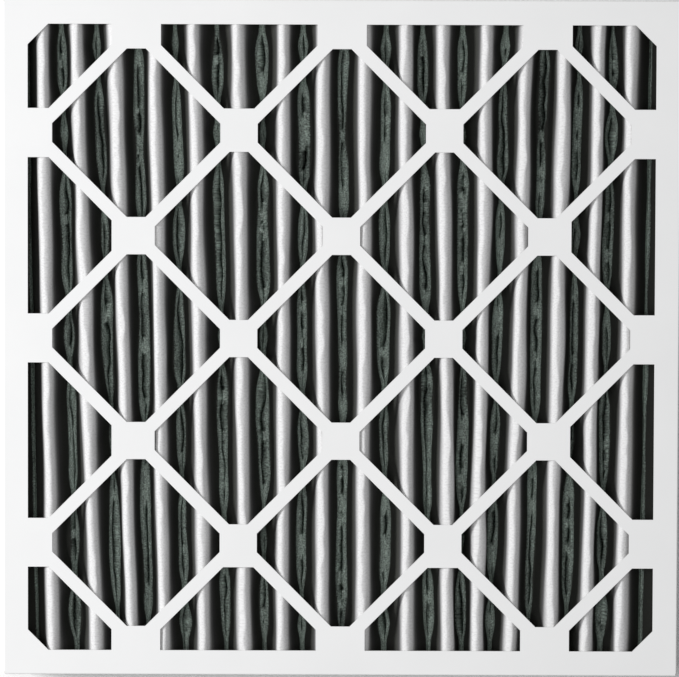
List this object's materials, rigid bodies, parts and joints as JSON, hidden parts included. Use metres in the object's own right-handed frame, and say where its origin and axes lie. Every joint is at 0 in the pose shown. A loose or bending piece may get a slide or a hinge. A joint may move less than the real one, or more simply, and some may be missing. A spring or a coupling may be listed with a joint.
{
  "type": "pleated panel air filter",
  "caption": "Square pleated panel air filter: folded media held between two white die-cut board trays with diamond lattices, backed by a light wire grid.",
  "frame": {"origin": "middle of the air-leaving face, which the filter lies on", "axes": "+X across the pleats to the right, +Y along the pleats, +Z through the filter towards the air-entering face"},
  "size_m": [0.4952, 0.4952, 0.0445],
  "materials": {
    "coated_board": "matte, clay-coated white paperboard",
    "filter_media": "non-woven fibre, charcoal grey with pale fibrous crests",
    "grid_wire": "galvanised wire",
    "adhesive": "hot-melt adhesive, satin"
  },
  "bodies": {
    "root": {"front_frame": "coated_board", "rear_frame": "coated_board", "pleated_media": "filter_media", "support_grid": "grid_wire", "upper_seal": "adhesive", "lower_seal": "adhesive", "left_seal": "adhesive", "right_seal": "adhesive"}
  },
  "joints": []
}
